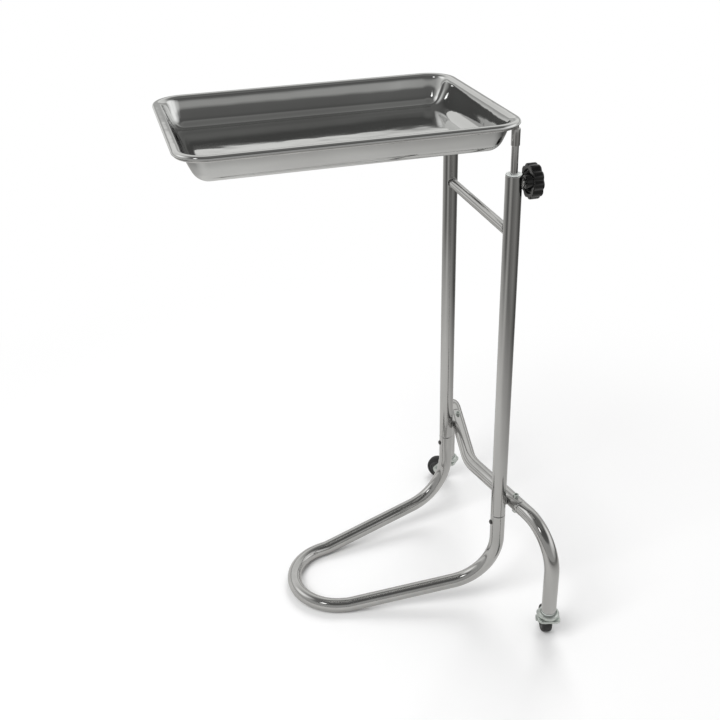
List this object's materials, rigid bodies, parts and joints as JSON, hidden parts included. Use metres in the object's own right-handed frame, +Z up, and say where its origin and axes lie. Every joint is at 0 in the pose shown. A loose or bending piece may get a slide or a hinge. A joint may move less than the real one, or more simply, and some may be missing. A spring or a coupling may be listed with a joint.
{
  "type": "mayo instrument stand",
  "caption": "Instrument stand: a shallow steel tray on a height-adjustable twin-rod carrier, clamp knobs, tube base with a floor loop and swivel casters.",
  "frame": {"origin": "bottom centre of the bounding box, on the floor under the middle of the stand", "axes": "+Z up; the tray reaches forward towards -Y; +X is the right-hand side seen from the front"},
  "size_m": [0.5556, 0.5588, 0.882],
  "materials": {
    "chrome_tube": "polished chrome plate on steel tube",
    "tray_steel": "satin stainless sheet",
    "zinc_plate": "bright zinc plate",
    "dark_screw": "blackened steel",
    "bearing_steel": "polished",
    "knob_plastic": "gloss black moulding",
    "bush_plastic": "pale moulding",
    "hub_plastic": "dark grey moulding",
    "tyre_rubber": "black rubber"
  },
  "bodies": {
    "stand": {"crossbar": "chrome_tube", "base_loop": "chrome_tube", "base_screws": "dark_screw", "rear_cross_tube": "chrome_tube", "leg_bolts": "zinc_plate", "leg_nuts": "zinc_plate", "post_left": "chrome_tube", "post_right": "chrome_tube", "clamp_boss_left": "chrome_tube", "clamp_boss_right": "chrome_tube", "guide_bush_left": "bush_plastic", "guide_bush_right": "bush_plastic", "rear_leg_left": "chrome_tube", "rear_leg_right": "chrome_tube", "caster_socket_left": "bush_plastic", "caster_socket_right": "bush_plastic", "kingpin_left": "zinc_plate", "kingpin_right": "zinc_plate", "swivel_cup_left": "zinc_plate", "swivel_cup_right": "zinc_plate"},
    "lift": {"tray_carrier": "chrome_tube", "inner_rod_left": "chrome_tube", "inner_rod_right": "chrome_tube", "rod_foot_left": "bush_plastic", "rod_foot_right": "bush_plastic", "rod_socket_left": "chrome_tube", "rod_socket_right": "chrome_tube"},
    "tray_body": {"tray": "tray_steel"},
    "stud_left": {"clamp_stud_left": "zinc_plate"},
    "knob_body_left": {"knob_left": "knob_plastic"},
    "caster_left": {"fork_left": "zinc_plate", "ball_ring_left": "bearing_steel", "axle_bolt_left": "zinc_plate", "axle_nut_left": "zinc_plate", "axle_sleeve_left": "zinc_plate"},
    "wheel_left": {"wheel_hub_left": "hub_plastic", "tyre_left": "tyre_rubber"},
    "stud_right": {"clamp_stud_right": "zinc_plate"},
    "knob_body_right": {"knob_right": "knob_plastic"},
    "caster_right": {"fork_right": "zinc_plate", "ball_ring_right": "bearing_steel", "axle_bolt_right": "zinc_plate", "axle_nut_right": "zinc_plate", "axle_sleeve_right": "zinc_plate"},
    "wheel_right": {"wheel_hub_right": "hub_plastic", "tyre_right": "tyre_rubber"}
  },
  "joints": [
    {"name": "height_slide", "type": "slide", "parent": "stand", "child": "lift", "axis": [0, 0, 1], "range_m": [-0.04, 0.4]},
    {"name": "tray_lift_off", "type": "slide", "parent": "lift", "child": "tray_body", "axis": [0, 0, 1], "range_m": [0, 0.15]},
    {"name": "clamp_screw_left", "type": "slide", "parent": "stand", "child": "stud_left", "axis": [0, 1, 0], "range_m": [0, 0.0025]},
    {"name": "knob_turn_left", "type": "hinge", "parent": "stud_left", "child": "knob_body_left", "pos_m": [-0.12506, 0.23564, 0.784], "axis": [0, 1, 0], "range_deg": [0, 720]},
    {"name": "caster_swivel_left", "type": "hinge", "parent": "stand", "child": "caster_left", "pos_m": [-0.24256, 0.2555, 0.05], "axis": [0, 0, 1], "continuous": true},
    {"name": "wheel_roll_left", "type": "hinge", "parent": "caster_left", "child": "wheel_left", "pos_m": [-0.25728, 0.23915, 0.024], "axis": [0.7431, -0.6691, 0], "continuous": true},
    {"name": "clamp_screw_right", "type": "slide", "parent": "stand", "child": "stud_right", "axis": [0, 1, 0], "range_m": [0, 0.0025]},
    {"name": "knob_turn_right", "type": "hinge", "parent": "stud_right", "child": "knob_body_right", "pos_m": [0.13994, 0.23564, 0.784], "axis": [0, 1, 0], "range_deg": [0, 720]},
    {"name": "caster_swivel_right", "type": "hinge", "parent": "stand", "child": "caster_right", "pos_m": [0.25744, 0.2555, 0.05], "axis": [0, 0, 1], "continuous": true},
    {"name": "wheel_roll_right", "type": "hinge", "parent": "caster_right", "child": "wheel_right", "pos_m": [0.23619, 0.2612, 0.024], "axis": [-0.2588, -0.9659, 0], "continuous": true}
  ],
  "couplings": [
    {"joint": "clamp_screw_left", "follows": "knob_turn_left", "m_per_rad": 0.00019894},
    {"joint": "clamp_screw_right", "follows": "knob_turn_right", "m_per_rad": 0.00019894}
  ]
}
